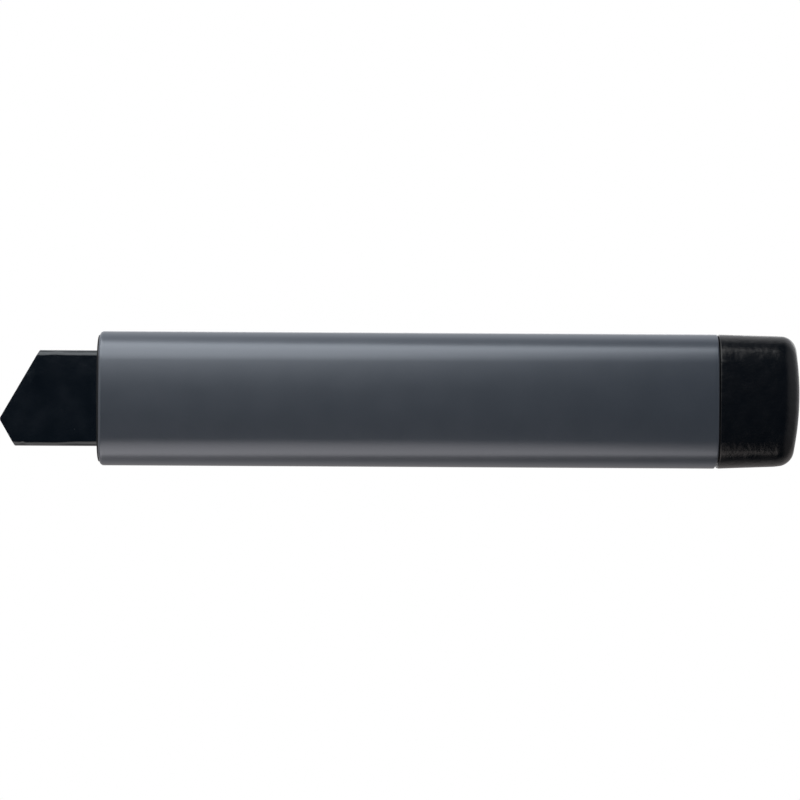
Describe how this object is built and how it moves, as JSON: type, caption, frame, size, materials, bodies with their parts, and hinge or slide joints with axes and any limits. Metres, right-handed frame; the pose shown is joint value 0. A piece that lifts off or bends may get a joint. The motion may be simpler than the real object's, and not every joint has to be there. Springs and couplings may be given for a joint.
{
  "type": "utility knife",
  "caption": "Flat-tube snap-off utility knife with a folded blade channel, sliding blade carriage, locking thumb button and a pull-off end cap that carries a spare blade magazine.",
  "frame": {"origin": "centre of the flat strip along the housing's lower side, at the middle of the housing's length", "axes": "+X along the knife from the blade's tip to the end cap, +Z from the cutting edge to the spine, -Y out of the smooth back face, +Y out of the face with the thumb button"},
  "size_m": [0.1683, 0.0193, 0.0282],
  "materials": {
    "grey_aluminium": "blasted and anodised, satin bluish dark grey",
    "black_steel": "smooth satin black coating",
    "black_plastic": "fine moulded grain",
    "gloss_black_plastic": "semi-gloss moulded black",
    "dark_nylon": "plain moulded nylon",
    "black_rubber": "matt, ribbed",
    "blade_steel": "ground blade steel with score lines",
    "bright_steel": "plain bright steel"
  },
  "bodies": {
    "knife_body": {"housing": "grey_aluminium", "blade_channel": "black_steel", "front_collar": "black_plastic", "slot_liner": "black_plastic", "upper_rail": "dark_nylon", "lower_rail": "dark_nylon", "rear_block": "dark_nylon", "channel_rivets": "bright_steel", "rear_screws": "black_steel"},
    "slider": {"carriage": "black_plastic", "blade_pin": "bright_steel", "blade": "blade_steel", "button_springs": "bright_steel"},
    "button": {"thumb_button": "gloss_black_plastic", "grip_pad": "black_rubber", "lock_pawl": "bright_steel", "pawl_screw": "bright_steel"},
    "rear_cap": {"end_cap": "gloss_black_plastic", "cap_plug": "dark_nylon", "cassette_tray": "dark_nylon", "cassette_cover": "dark_nylon", "cassette_spring": "bright_steel", "cassette_pin": "bright_steel", "spare_blade_1": "blade_steel", "spare_blade_2": "blade_steel"}
  },
  "joints": [
    {"name": "blade_slide", "type": "slide", "parent": "knife_body", "child": "slider", "axis": [-1, 0, 0], "range_m": [0, 0.06]},
    {"name": "button_press", "type": "slide", "parent": "slider", "child": "button", "axis": [0, -1, 0], "range_m": [0, 0.0009], "stiffness_N_per_m": 2500, "springref_m": -0.0005, "deforming": ["button_springs"]},
    {"name": "cap_pull", "type": "slide", "parent": "knife_body", "child": "rear_cap", "axis": [1, 0, 0], "range_m": [0, 0.112]}
  ]
}
